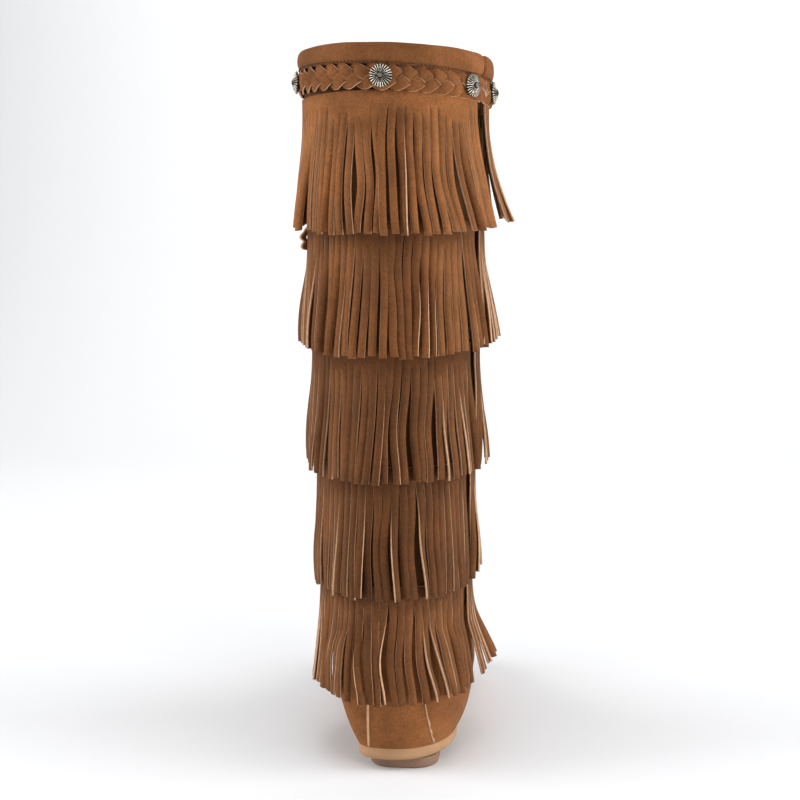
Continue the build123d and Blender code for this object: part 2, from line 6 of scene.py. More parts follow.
import bmesh
import bpy
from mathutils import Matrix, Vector, noise
from mathutils.bvhtree import BVHTree


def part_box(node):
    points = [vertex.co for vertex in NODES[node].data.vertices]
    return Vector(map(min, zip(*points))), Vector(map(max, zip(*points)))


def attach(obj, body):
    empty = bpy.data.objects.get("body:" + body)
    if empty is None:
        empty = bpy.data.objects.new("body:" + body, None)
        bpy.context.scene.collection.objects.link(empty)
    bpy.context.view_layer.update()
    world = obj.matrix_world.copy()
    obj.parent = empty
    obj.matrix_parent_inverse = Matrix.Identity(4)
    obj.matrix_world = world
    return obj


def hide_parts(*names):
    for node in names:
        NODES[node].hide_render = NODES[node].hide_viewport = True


MM = 0.001
TAU = 2 * math.pi

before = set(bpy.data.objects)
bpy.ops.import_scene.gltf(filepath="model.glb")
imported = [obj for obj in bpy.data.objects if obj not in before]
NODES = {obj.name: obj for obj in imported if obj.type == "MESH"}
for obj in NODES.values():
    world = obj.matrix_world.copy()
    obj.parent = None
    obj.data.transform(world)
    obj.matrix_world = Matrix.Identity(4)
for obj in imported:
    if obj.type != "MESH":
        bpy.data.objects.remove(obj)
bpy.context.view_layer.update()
BODY = "boot"


# Reading places from the CAD -----------------------------------------
FAR = 0.5  # clear of the boot, where rays start
FOOT_CORE_X = -0.002
FOOT_CORE_Y = (-0.005, 0.165)
FOOT_CORE_Z = 0.032


def tree_of(*names, outside_of=None):
    """One ray-casting tree over several CAD nodes, or over only their outward faces."""
    verts, faces = [], []
    for name in names:
        mesh = NODES[name].data
        start = len(verts)
        verts += [v.co.copy() for v in mesh.vertices]
        for p in mesh.polygons:
            if outside_of and p.normal.dot(p.center - outside_of(p.center)) <= 0:
                continue
            faces.append([start + i for i in p.vertices])
    return BVHTree.FromPolygons(verts, faces)


def foot_core(point):
    """The nearest point of a line down the middle of the foot."""
    heel, toe = FOOT_CORE_Y
    return Vector((FOOT_CORE_X, min(max(point.y, heel), toe), FOOT_CORE_Z))


def middle(node):
    """The centre of a CAD node's box."""
    low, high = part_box(node)
    return (low + high) / 2


SHAFT_TREE = tree_of("shaft_back", "shaft_front")
FOOT_TREE = tree_of("moccasin_wrap", "heel_panel", "apron", outside_of=foot_core)


def measured_oval(z):
    """Centre x and y, and half width and depth, of the shaft's outside at a height."""
    cast = SHAFT_TREE.ray_cast
    guess = middle("cuff")
    back = cast(Vector((guess.x, -FAR, z)), Vector((0, 1, 0)))[0].y
    front = cast(Vector((guess.x, FAR, z)), Vector((0, -1, 0)))[0].y
    y = (back + front) / 2
    outer = cast(Vector((-FAR, y, z)), Vector((1, 0, 0)))[0].x
    inner = cast(Vector((FAR, y, z)), Vector((-1, 0, 0)))[0].x
    return Vector(((outer + inner) / 2, y, (inner - outer) / 2, (front - back) / 2))


OVAL_Z = (0.120, 0.400)  # heights at which the shaft's oval is measured
OVAL_LOW, OVAL_HIGH = (measured_oval(z) for z in OVAL_Z)


def oval_at(z):
    """The shaft's oval at any height, on the straight taper between the measured two."""
    share = (z - OVAL_Z[0]) / (OVAL_Z[1] - OVAL_Z[0])
    return [a + (b - a) * share for a, b in zip(OVAL_LOW, OVAL_HIGH)]


def on_shaft(angle, z, out=0.0):
    """A point at an oval angle (radians from +X) and its outward normal."""
    cx, cy, hx, hy = oval_at(z)
    c, s = math.cos(angle), math.sin(angle)
    normal = Vector((hy * c, hx * s, 0)).normalized()
    return Vector((cx + hx * c, cy + hy * s, z)) + normal * out, normal


def angle_of(point):
    """The oval angle of a point near the shaft."""
    cx, cy, hx, hy = oval_at(point.z)
    return math.atan2((point.y - cy) / hy, (point.x - cx) / hx)


ZIP_ANGLE = angle_of(middle("zip_teeth_back") * 0.5 + middle("zip_teeth_front") * 0.5)


# Materials -----------------------------------------------------------
def material(name, rough, colour, **sockets):
    """A new Principled material, with its nodes, links and shader; sockets are set by name."""
    mat = bpy.data.materials.new(name)
    mat.use_nodes = True
    nodes, links = mat.node_tree.nodes, mat.node_tree.links
    shader = nodes["Principled BSDF"]
    shader.inputs["Roughness"].default_value = rough
    shader.inputs["Base Color"].default_value = (*colour, 1)
    for socket, value in sockets.items():
        shader.inputs[socket.replace("_", " ")].default_value = value
    return mat, nodes, links, shader


def noise_node(nodes, links, coords, scale, detail=4, rough=0.6, stretch=(1, 1, 1)):
    """A fractal noise value from 0 to 1 in object space."""
    mapping = nodes.new("ShaderNodeMapping")
    mapping.inputs["Scale"].default_value = stretch
    links.new(coords, mapping.inputs["Vector"])
    tex = nodes.new("ShaderNodeTexNoise")
    tex.inputs["Scale"].default_value = scale
    tex.inputs["Detail"].default_value = detail
    tex.inputs["Roughness"].default_value = rough
    links.new(mapping.outputs[0], tex.inputs["Vector"])
    return tex.outputs["Fac"]


def ramp(nodes, links, value, stops):
    """A colour from a value, by (place, colour) stops."""
    node = nodes.new("ShaderNodeValToRGB")
    elements = node.color_ramp.elements
    while len(elements) < len(stops):
        elements.new(0.5)
    for element, (place, colour) in zip(elements, stops):
        element.position = place
        element.color = (*colour, 1)
    links.new(value, node.inputs["Fac"])
    return node.outputs["Color"]


def multiply(nodes, links, amount, a, b):
    """One colour multiplied by another; the amount is how far it goes, from 0 to 1."""
    node = nodes.new("ShaderNodeMix")
    node.data_type = "RGBA"
    node.blend_type = "MULTIPLY"
    node.inputs["Factor"].default_value = amount
    for socket, value in (("A", a), ("B", b)):
        links.new(value, next(i for i in node.inputs if i.name == socket and i.type == "RGBA"))
    return next(o for o in node.outputs if o.type == "RGBA")


def bump(nodes, links, shader, height, strength, distance):
    """Relief too fine for the mesh."""
    node = nodes.new("ShaderNodeBump")
    node.inputs["Strength"].default_value = strength
    node.inputs["Distance"].default_value = distance
    links.new(height, node.inputs["Height"])
    links.new(node.outputs[0], shader.inputs["Normal"])


def remap(nodes, links, value, start, end):
    """A value carried from one (low, high) range to another."""
    node = nodes.new("ShaderNodeMapRange")
    for socket, number in zip(("From Min", "From Max", "To Min", "To Max"), (*start, *end)):
        node.inputs[socket].default_value = number
    links.new(value, node.inputs["Value"])
    return node.outputs[0]


def object_coords(nodes):
    return nodes.new("ShaderNodeTexCoord").outputs["Object"]


def scaled(colour, by):
    return tuple(c * by for c in colour)


def mottled(name, rough, tone, stops, spots, relief, strength, distance, **sockets):
    """A stock whose tone varies in soft spots over a fine relief; stops are (place, share)."""
    mat, nodes, links, shader = material(name, rough, tone, **sockets)
    at = object_coords(nodes)
    colour = ramp(nodes, links, noise_node(nodes, links, at, **spots),
                  [(place, scaled(tone, share)) for place, share in stops])
    links.new(colour, shader.inputs["Base Color"])
    bump(nodes, links, shader, noise_node(nodes, links, at, **relief), strength, distance)
    return mat


SUEDE_TONE = (0.250, 0.095, 0.031)
EDGE_TONE = (0.54, 0.32, 0.19)
SUEDE_ROUGH = 0.95
SUEDE_SPECULAR = 0.15


def suede(name, tone, depth=1.0, by_strand=False):
    """Napped suede: brushed light and dark patches, a fine fibre grain and a soft sheen.

    By strand, it is also darkened by the mesh's shade attribute, which holds each strand's own
    tone together with painted shade.
    """
    mat, nodes, links, shader = material(
        name, SUEDE_ROUGH, tone, Specular_IOR_Level=SUEDE_SPECULAR, Sheen_Weight=0.12,
        Sheen_Roughness=0.45, Sheen_Tint=(0.95, 0.50, 0.24, 1))
    at = object_coords(nodes)
    patches = ramp(nodes, links, noise_node(nodes, links, at, scale=38, detail=5, rough=0.62),
                   [(0.30, scaled(tone, 1 - 0.34 * depth)), (0.52, tone),
                    (0.74, scaled(tone, 1 + 0.36 * depth))])
    grain = ramp(nodes, links, noise_node(nodes, links, at, scale=760, rough=0.75),
                 [(0.30, (0.48, 0.45, 0.42)), (0.62, (1.0, 1.0, 1.0))])
    colour = multiply(nodes, links, 0.8, patches, grain)
    if by_strand:
        attribute = nodes.new("ShaderNodeAttribute")
        attribute.attribute_name = "shade"
        strand_tone = ramp(nodes, links, attribute.outputs["Fac"],
                           [(0.0, (0.12, 0.11, 0.11)), (1.0, (1.0, 1.0, 1.0))])
        colour = multiply(nodes, links, 1.0, colour, strand_tone)
    links.new(colour, shader.inputs["Base Color"])
    fibres = noise_node(nodes, links, at, scale=1500, rough=0.75)
    bump(nodes, links, shader, fibres, strength=0.35, distance=0.0004)
    return mat


def cut_edge():
    """The pale raw side of cut suede."""
    return mottled("suede_cut_edge", SUEDE_ROUGH, EDGE_TONE,
                   [(0.30, 0.62), (0.55, 0.9), (0.75, 1)],
                   spots=dict(scale=420, rough=0.7), relief=dict(scale=1800, detail=3),
                   strength=0.4, distance=0.0003, Specular_IOR_Level=SUEDE_SPECULAR)


def rubber(name, tone, speck):
    """Moulded sole rubber with faint marbling, fine pores and scuffs."""
    mat, nodes, links, shader = material(name, 0.62, tone, Specular_IOR_Level=0.35)
    at = object_coords(nodes)
    marbling = ramp(nodes, links, noise_node(nodes, links, at, scale=60, detail=6,
                                             stretch=(1, 1, 3)),
                    [(0.30, scaled(tone, 0.84)), (0.55, tone), (0.75, scaled(tone, 1.12))])
    pores = ramp(nodes, links, noise_node(nodes, links, at, scale=1300, detail=2),
                 [(0.30, speck), (0.42, (1.0, 1.0, 1.0))])
    links.new(multiply(nodes, links, 0.5, marbling, pores), shader.inputs["Base Color"])
    scuffs = noise_node(nodes, links, at, scale=150, detail=5)
    links.new(remap(nodes, links, scuffs, (0.0, 1.0), (0.5, 0.75)), shader.inputs["Roughness"])
    pits = noise_node(nodes, links, at, scale=700, detail=5)
    bump(nodes, links, shader, pits, strength=0.12, distance=0.0003)
    return mat


def thread(name, tone):
    """Twisted sewing thread."""
    return mottled(name, 0.8, tone, [(0.35, 0.6), (0.65, 1)],
                   spots=dict(scale=2500, detail=2), relief=dict(scale=3000, detail=2),
                   strength=0.3, distance=0.0002)


def antique_metal(name, bright, dark):
    """Polished high spots over a dark patina; the mesh's relief attribute says which."""
    mat, nodes, links, shader = material(name, 0.32, bright, Metallic=1.0)
    relief = nodes.new("ShaderNodeAttribute")
    relief.attribute_name = "relief"
    stain = noise_node(nodes, links, object_coords(nodes), scale=700, detail=5, rough=0.7)
    lifted = nodes.new("ShaderNodeMath")
    lifted.operation = "MULTIPLY_ADD"
    lifted.inputs[1].default_value = 0.35  # how far the stain reaches up the relief
    links.new(stain, lifted.inputs[0])
    links.new(relief.outputs["Fac"], lifted.inputs[2])
    colour = ramp(nodes, links, lifted.outputs[0],
                  [(0.30, dark), (0.62, scaled(bright, 0.55)), (0.95, bright)])
    links.new(colour, shader.inputs["Base Color"])
    worn = remap(nodes, links, lifted.outputs[0], (0.3, 0.9), (0.62, 0.26))
    links.new(worn, shader.inputs["Roughness"])
    bump(nodes, links, shader, stain, strength=0.15, distance=0.0001)
    return mat


def plain_metal(name, tone, rough):
    """Cast metal with faint stains and a brighter rim of its own colour."""
    rim = tuple(min(1.0, 3 * c) for c in tone)
    return mottled(name, rough, tone, [(0.35, 0.55), (0.6, 1)],
                   spots=dict(scale=500, detail=5), relief=dict(scale=1600, detail=3),
                   strength=0.1, distance=0.0001, Metallic=1.0, Specular_Tint=(*rim, 1))


def woven(name, tone):
    """A fine twill, for the zip's tape."""
    mat, nodes, links, shader = material(name, 0.85, tone)
    wave = nodes.new("ShaderNodeTexWave")
    wave.bands_direction = "DIAGONAL"
    wave.inputs["Scale"].default_value = 420
    wave.inputs["Distortion"].default_value = 1.0
    links.new(object_coords(nodes), wave.inputs["Vector"])
    colour = ramp(nodes, links, wave.outputs["Fac"], [(0.2, scaled(tone, 0.55)), (0.8, tone)])
    links.new(colour, shader.inputs["Base Color"])
    bump(nodes, links, shader, wave.outputs["Fac"], strength=0.4, distance=0.0002)
    return mat


def board(name, tone, scale):
    """Pressed fibre, lining leather or moulded plastic."""
    return mottled(name, 0.75, tone, [(0.3, 0.75), (0.7, 1.1)],
                   spots=dict(scale=scale, detail=6, rough=0.65), relief=dict(scale=scale * 6),
                   strength=0.25, distance=0.0003)


SUEDE = suede("suede", scaled(SUEDE_TONE, 0.86))
# Painted shade: the shaft under the fringe gets the same suede at a third of its tone,
# standing for the shadow the fringe casts on it.
SHADED_SHAFT_SUEDE = suede("suede_under_fringe_painted_shade", scaled(SUEDE_TONE, 0.34))
STRAND = suede("suede_fringe", scaled(SUEDE_TONE, 1.20), depth=0.8, by_strand=True)
EDGE = cut_edge()
TAN_RUBBER = rubber("tan_rubber", (0.345, 0.192, 0.092), (0.6, 0.5, 0.4))
BROWN_RUBBER = rubber("brown_rubber", (0.185, 0.104, 0.065), (0.5, 0.45, 0.4))
PALE_THREAD = thread("pale_thread", (0.62, 0.42, 0.25))
DARK_THREAD = thread("dark_thread", (0.075, 0.035, 0.018))
SILVER = antique_metal("antique_silver", (0.50, 0.46, 0.38), (0.012, 0.010, 0.008))
# Antique brass, its colour darkened well below brass as painted shade for the shadow the zip
# lies in under the fringe.
SHADED_BRASS = plain_metal("antique_brass_painted_shade", (0.050, 0.030, 0.015), 0.65)
STEEL = plain_metal("steel", (0.55, 0.54, 0.52), 0.35)
TAPE = woven("zip_tape_weave", (0.050, 0.022, 0.012))
TEETH = board("zip_teeth_plastic", (0.055, 0.027, 0.015), 300)
LINING = board("footbed_lining", (0.42, 0.27, 0.15), 90)
FIBRE = board("insole_fibre", (0.36, 0.26, 0.17), 220)
SHELL = board("stiffener_shell", (0.50, 0.46, 0.38), 160)

CARRIED = {
    "shaft_back": SHADED_SHAFT_SUEDE, "shaft_front": SHADED_SHAFT_SUEDE, "heel_panel": SUEDE,
    "moccasin_wrap": SUEDE, "apron": SUEDE, "midsole": TAN_RUBBER,
    "heel_lift": BROWN_RUBBER, "forepart_tread": BROWN_RUBBER, "insole_board": FIBRE,
    "footbed": LINING, "heel_stiffener": SHELL, "concho_rivets": STEEL,
    "zip_tape_back": TAPE, "zip_tape_front": TAPE,
    "zip_teeth_back": TEETH, "zip_teeth_front": TEETH,
    "zip_top_stops": SHADED_BRASS, "zip_bottom_stop": SHADED_BRASS, "zip_slider": SHADED_BRASS, "zip_pull": SHADED_BRASS,
}


def dress_cad():
    """Gives the CAD nodes that show as they are their materials."""
    for name, mat in CARRIED.items():
        mesh = NODES[name].data
        mesh.materials.clear()
        mesh.materials.append(mat)


# Making pieces -------------------------------------------------------
def piece(name, verts, faces, mats, replaced=(), face_mats=None):
    """A mesh that rides on the boot and stands for CAD nodes."""
    mesh = bpy.data.meshes.new(name)
    mesh.from_pydata(verts, [], faces)
    for mat in mats:
        mesh.materials.append(mat)
    if face_mats:
        mesh.polygons.foreach_set("material_index", face_mats)
    mesh.polygons.foreach_set("use_smooth", [True] * len(mesh.polygons))
    obj = bpy.data.objects.new(name, mesh)
    bpy.context.scene.collection.objects.link(obj)
    tidy = bmesh.new()
    tidy.from_mesh(mesh)
    bmesh.ops.recalc_face_normals(tidy, faces=tidy.faces)
    tidy.to_mesh(mesh)
    tidy.free()
    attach(obj, BODY)
    if replaced:
        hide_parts(*replaced)
    return obj


def apply_modifiers(obj):
    """Turns an object's modifiers into its own mesh."""
    graph = bpy.context.evaluated_depsgraph_get()
    final = bpy.data.meshes.new_from_object(obj.evaluated_get(graph))
    old = obj.data
    obj.modifiers.clear()
    obj.data = final
    bpy.data.meshes.remove(old)


def thicken(obj, thickness):
    """Gives a sheet its leather thickness, with its second material on the cut edges."""
    solid = obj.modifiers.new("leather", "SOLIDIFY")
    solid.thickness = thickness
    solid.offset = 0
    solid.use_even_offset = False
    solid.material_offset_rim = 1
    apply_modifiers(obj)


def smooth_noise(*at):
    """A repeatable random value from -1 to 1 that varies gently."""
    return noise.noise(Vector(at if len(at) == 3 else (*at, 0.5)))


# Fringe --------------------------------------------------------------
STRAND_WIDTH = 4.7 * MM
STRAND_CROWN = 0.4 * MM
LEATHER = 1.3 * MM
ROWS = 22  # of mesh points down a strand
COLUMNS = (0.0, 0.5, 1.0)  # of mesh points across a strand
ARC_STEPS = 720  # round the shaft, where its girth is measured
FIRST_SEED = 40
REAR = -math.pi / 2
ZIP_OPENING = (12.5 * MM, 9.0 * MM)  # in the top strip and in the others
TOP_STRIP_TUCK = 3 * MM  # how much of the top strip the braid covers
LOWEST_STRIP = 5
LOWEST_STRIP_HEIGHT = 70 * MM

SLIT_START = (0.08, 0.26)  # where the cuts begin, as shares of the strip's height
GROUP_SIZE = (2, 6)
GROUP_STEP = 1.8 * MM  # every other group lies this far out
LOOSE_SHARE = 0.16  # of the strands twist out of line
LOOSE_STEP = 0.9  # mm out from the strand's group
LOOSE_TWIST = 46  # degrees
BAND_SHADE = 0.85  # of the uncut band, beside its strands
HEM_SHADOW_LEVEL = 0.5  # painted shadow: the suede's tone left under the strip above
HEM_SHADOW_END = 0.08  # down to this share of the strip's height
HEM_SHADOW_FADE = 0.20  # and gone by this much further down

DRIFT_GROWTH = 1.5  # powers of the share of a strand's free length
LEAN_GROWTH = 2
FLARE_GROWTH = 2.6
FOOT_FLARE_GROWTH = 2.2
WAVES = 1.3  # down a strand's free length
TWIST_RATE = 1.4
NARROWING_RATE = 4  # of a strand from its share of the band to its own width

SHAFT_GAP = 1.0 * MM  # between the strips and the shaft
ANKLE_GAP = 1.2 * MM
FOOT_GAP = 1.4 * MM
STRAND_WEIGHT = 0.2  # how fast a strand that slides over the foot turns down
NORMAL_TURN = 0.4  # how fast its face turns to the foot's surface
RIM_BAND = 2 * MM  # of the foot's top edge, which the strands pass over


def ease(t):
    """A smooth step from 0 to 1."""
    t = min(max(t, 0.0), 1.0)
    return t * t * (3 - 2 * t)


def near_angle(a, centre, spread):
    """1 at an angle in degrees, falling away smoothly either side of it."""
    gap = (math.degrees(a) - centre + 180) % 360 - 180
    return math.exp(-((gap / spread) ** 2))


class Layer:
    """One strip of fringe: its heights, and how its strands fan and flare round the leg."""

    def __init__(self, index, top, hem, hem_out, lift, fan, tone, flares):
        self.index, self.top, self.hem, self.tone = index, top, hem, tone
        self.hem_out, self.lift, self.fan, self.flares = hem_out, lift, fan, flares

    def flare(self, angle):
        """Outward, sideways and upward push of the hem at an angle, in metres."""
        out = side = up = 0.0
        for centre, spread, push, slide, rise in self.flares:
            share = near_angle(angle, centre, spread)
            out, side, up = out + push * share, side + slide * share, up + rise * share
        return out * MM, side * MM, up * MM

    def painted_hem_shadow(self, t):
        """Painted shadow: the suede is darkened where the strip above hangs over it."""
        if self.index == 1:
            return 1.0
        clear = ease((t - HEM_SHADOW_END) / HEM_SHADOW_FADE)
        return HEM_SHADOW_LEVEL + (1 - HEM_SHADOW_LEVEL) * clear


class Group:
    """A run of neighbouring strands that lie side by side and hang alike."""

    def __init__(self, rng, index):
        self.size = rng.randint(*GROUP_SIZE)
        self.level = (index % 2) * GROUP_STEP
        self.drift = rng.uniform(-2.6, 2.6)
        self.bow = rng.uniform(-1.7, 1.7)
        self.wave = rng.uniform(-0.8, 0.8)
        self.lean = rng.gauss(0, 0.8)
        self.shade = rng.uniform(0.68, 1.0)


class Strand:
    """One cut strand: where it starts, how it drifts, leans out and twists.

    In each noise call the angle's factor sets how often the value turns round the leg, and
    the other arguments keep the values apart. Amounts are in millimetres or degrees.
    """

    def __init__(self, rng, layer, group, left, right):
        self.left, self.right = left, right
        self.angle = (left + right) / 2
        self.slit = rng.uniform(*SLIT_START)
        loose = rng.random() < LOOSE_SHARE
        seat = self.angle - REAR
        bunch = smooth_noise(self.angle * 3.4, layer.index * 7.1)
        fine = smooth_noise(self.angle * 9.0, layer.index * 3.7, 4.0)
        self.flare, side, up = layer.flare(self.angle)
        self.level = group.level + (LOOSE_STEP if loose else rng.uniform(0, 0.35)) * MM
        self.drift = (4.0 * bunch + 1.8 * fine + group.drift + rng.uniform(-0.4, 0.4)) * MM \
            + layer.fan * math.sin(seat) + side
        self.bow = (2.2 * smooth_noise(self.angle * 5, layer.index, 2.0) + group.bow
                    + rng.uniform(-0.3, 0.3)) * MM
        self.wave = (group.wave + rng.uniform(-0.2, 0.2)) * MM
        self.twist = math.radians(rng.choice((-LOOSE_TWIST, LOOSE_TWIST)) if loose
                                  else rng.gauss(0, 6) + 22 * fine)
        self.lean = (2.2 * smooth_noise(self.angle * 2.2, layer.index * 3.3, 9.0) + group.lean
                     + rng.gauss(0, 0.3)) * MM
        self.rise = rng.uniform(-1.1, 1.1) * MM + up + layer.lift * (1 - math.cos(seat))
        self.width = STRAND_WIDTH * rng.uniform(0.90, 1.0)
        # The strand's own random tone, times its strip's tone, which is painted shade.
        self.shade = layer.tone * group.shade * rng.uniform(0.72, 1.05)
        self.path = None


def strand_angles(z, opening):
    """Even angles round the shaft, a strand apart, leaving the opening over the zip."""
    _, _, hx, hy = oval_at(z)
    arc = [0.0]
    for i in range(ARC_STEPS):
        a = ZIP_ANGLE + TAU * (i + 0.5) / ARC_STEPS
        arc.append(arc[-1] + math.hypot(hx * math.sin(a), hy * math.cos(a)) * TAU / ARC_STEPS)
    length = arc[-1] - opening
    count = round(length / STRAND_WIDTH)
    edges = []
    j = 0
    for i in range(count + 1):
        target = opening / 2 + length * i / count
        while arc[j + 1] < target:
            j += 1
        share = (target - arc[j]) / (arc[j + 1] - arc[j])
        edges.append(ZIP_ANGLE + TAU * (j + share) / ARC_STEPS)
    return edges


def hang_on_shaft(layer, strand, t):
    """A point on the middle of a strand that hangs down the shaft, and its normal."""
    z = layer.top + (layer.hem + strand.rise - layer.top) * t
    free = max(0.0, (t - strand.slit) / (1 - strand.slit))
    out = SHAFT_GAP + layer.hem_out * ease(t) + strand.level * ease(free) \
        + strand.lean * free ** LEAN_GROWTH + strand.flare * free ** FLARE_GROWTH
    return on_shaft(strand.angle, z, out)


def slide_over_foot(layer, strand):
    """Points of a strand that slides down over the ankle and foot, with normals."""
    point, normal = on_shaft(strand.angle, layer.top, ANKLE_GAP)
    outward = normal.copy()
    step = (layer.top - layer.hem - strand.rise) / ROWS
    heading = Vector((0, 0, -1))
    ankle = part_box("moccasin_wrap")[1].z
    places = [(point.copy(), normal.copy())]
    for i in range(1, ROWS + 1):
        t = i / ROWS
        gap = FOOT_GAP + (strand.level + layer.hem_out) * ease(t)
        down = Vector((0, 0, -STRAND_WEIGHT))
        heading = (heading * (1 - STRAND_WEIGHT) + down).normalized()
        target = point + heading * step
        limit, out = on_shaft(strand.angle, max(target.z, ankle), gap)
        if target.z > ankle and (target - limit).dot(out) < 0:
            target += out * (limit - target).dot(out)
        near, foot_out, _, _ = FOOT_TREE.find_nearest(target)
        on_rim = near.z > ankle - RIM_BAND and foot_out.z > 0.5  # and faces mostly up
        if target.z < ankle and not on_rim and (target - near).dot(foot_out) < gap:
            target = near + foot_out * gap
            out = foot_out
        normal = (normal * (1 - NORMAL_TURN) + out * NORMAL_TURN).normalized()
        heading = (target - point).normalized()
        point = point + heading * step
        push = max(strand.lean, 0.0) * t ** LEAN_GROWTH + strand.flare * t ** FOOT_FLARE_GROWTH
        places.append((point + outward * push, normal.copy()))
    return places


def strand_point(layer, strand, row, u):
    """A mesh point at a row down a strand and u, from 0 to 1, across it."""
    t = row / ROWS
    free = (t - strand.slit) / (1 - strand.slit)
    if layer.index == LOWEST_STRIP:
        if strand.path is None:
            strand.path = slide_over_foot(layer, strand)
        at, out = strand.path[row]
    else:
        at, out = hang_on_shaft(layer, strand, t)
    if free <= 0:
        angle = strand.left + (strand.right - strand.left) * u
        return on_shaft(angle, at.z, (at - on_shaft(strand.angle, at.z)[0]).dot(out))[0]
    level = ease(free)
    sideways = Vector((0, 0, 1)).cross(out).normalized()
    drift = strand.drift * free ** DRIFT_GROWTH + strand.bow * math.sin(math.pi * free) \
        + strand.wave * math.sin(TAU * free * WAVES)
    turn = strand.twist * ease(free * TWIST_RATE)
    across = sideways * math.cos(turn) + out * math.sin(turn)
    crown = (0.25 - (u - 0.5) ** 2) * STRAND_CROWN * level
    width = strand.width + (STRAND_WIDTH - strand.width) * (1 - ease(free * NARROWING_RATE))
    return at + sideways * drift + across * (u - 0.5) * width + out * crown


def fringe(layer):
    """A strip of fringe: a whole band at the top that is cut into strands below."""
    rng = random.Random(FIRST_SEED + layer.index)
    mid_height = (layer.top + layer.hem) / 2
    edges = strand_angles(mid_height, ZIP_OPENING[0 if layer.index == 1 else 1])
    strands, groups = [], [Group(rng, 0)]
    for left, right in zip(edges, edges[1:]):
        if groups[-1].size == 0:
            groups.append(Group(rng, len(groups)))
        groups[-1].size -= 1
        strands.append(Strand(rng, layer, groups[-1], left, right))
    verts, faces, shades, joined = [], [], [], {}
    for i, strand in enumerate(strands):
        rows = []
        for r in range(ROWS + 1):
            row = []
            for u in COLUMNS:
                key = None
                if u != 0.5:
                    other = i - 1 if u == 0 else i + 1
                    beside = strands[other].slit if 0 <= other < len(strands) else 0
                    if r / ROWS <= min(strand.slit, beside):
                        key = (i + round(u), r)
                if key in joined:
                    row.append(joined[key])
                    continue
                if key:
                    joined[key] = len(verts)
                row.append(len(verts))
                verts.append(strand_point(layer, strand, r, u))
                cut = r / ROWS > strand.slit
                # Shade attribute: the strand's own tone, with painted shade by strip and
                # painted shadow under the strip above.
                shades.append((strand.shade if cut else layer.tone * BAND_SHADE)
                              * layer.painted_hem_shadow(r / ROWS))
            rows.append(row)
        for upper, lower in zip(rows, rows[1:]):
            for c in range(len(COLUMNS) - 1):
                faces.append((upper[c], lower[c], lower[c + 1], upper[c + 1]))
    obj = piece(f"fringe_{layer.index}_strands", verts, faces, [STRAND, EDGE],
                replaced=[f"fringe_{layer.index}"])
    shade = obj.data.attributes.new("shade", "FLOAT", "POINT")
    shade.data.foreach_set("value", shades)
    thicken(obj, LEATHER)


def make_fringe():
    """The five strips; sizes in millimetres.

    A flare is (angle, spread, outward, sideways, upward), with its angles in degrees.
    """
    right, left = 8, 188
    over_zip = [(-10, 10, 0, -6, 0), (-30, 10, 0, 5, 0)]  # closes the strands over the zip
    past_pull = [(-10, 10, 0, -2, 0), (-30, 10, 0, 1, 0)]  # less, so that the pull can swing
    # Each strip's tone is painted shade: the strips below the top one are darkened, most at
    # mid-height, where less light reaches them.
    styles = [
        dict(hem_out=4.5, lift=7.5, fan=7.0, tone=1.0,
             flares=[(-2, 24, 13, 2, 4), (-40, 18, 2, 6, 1), (-70, 22, 0, 4, 0),
                     (left, 30, 1, -1, 1)]),
        dict(hem_out=5.0, lift=7.5, fan=3.0, tone=0.64,
             flares=[(right, 22, 5, 2, 2), (left, 20, -1, -1, 1), *over_zip]),
        dict(hem_out=4.5, lift=4.5, fan=2.0, tone=0.44,
             flares=[(right, 22, 1, 1, 1), (left, 25, -2, -2, 1), *over_zip]),
        dict(hem_out=3.5, lift=4.5, fan=2.0, tone=0.40,
             flares=[(right, 18, 1, 2, 2), (left, 25, -5, -1, 0), *past_pull]),
        dict(hem_out=1.0, lift=6.0, fan=2.0, tone=0.55,
             flares=[(right, 24, 8, 3, 4), (left + 8, 26, 4, -3, -3)]),
    ]
    for index, style in enumerate(styles, 1):
        low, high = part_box(f"fringe_{index}")
        top = high.z - (TOP_STRIP_TUCK if index == 1 else 0)
        hem = high.z - LOWEST_STRIP_HEIGHT if index == LOWEST_STRIP else low.z
        for key in ("hem_out", "lift", "fan"):
            style[key] *= MM
        fringe(Layer(index, top, hem, **style))


STRAY_ANGLE = math.radians(194)
STRAY_CURL = [(0.5, 7.0), (2.0, 3.0), (4.2, 1.6), (5.0, -0.6), (3.2, -2.0), (2.2, -2.6),
              (4.0, -4.4), (4.4, -6.8), (2.4, -8.0)]  # mm out and mm above the top strip's hem
STRAY_CORNERS = ((-2.6, -1.7), (2.6, -1.7), (2.6, 1.7), (-2.6, 1.7))  # mm across and through


def make_stray_strand():
    """The end of one strand that curls out from under the top strip, on the outer side."""
    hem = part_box("fringe_1")[0].z
    rings = []
    for out, z in STRAY_CURL:
        spot, normal = on_shaft(STRAY_ANGLE, hem + z * MM, out * MM)
        side = Vector((0, 0, 1)).cross(normal)
        wide = (normal + side * 0.5).normalized()
        thin = wide.cross(Vector((0, 0, 1)))
        rings.append([spot + wide * a * MM + thin * b * MM for a, b in STRAY_CORNERS])
    stray = sweep("fringe_stray_strand", rings, [SUEDE, EDGE],
                  face_mat=lambda k: 1 if k in (1, 3) else 0)
    smooth = stray.modifiers.new("smooth", "SUBSURF")
    smooth.levels = smooth.render_levels = 2
    apply_modifiers(stray)


# Collar: cuff, braid and conchos -------------------------------------
RING_INSET = 1.8 * MM  # from a collar ring's outside to the middle of its top


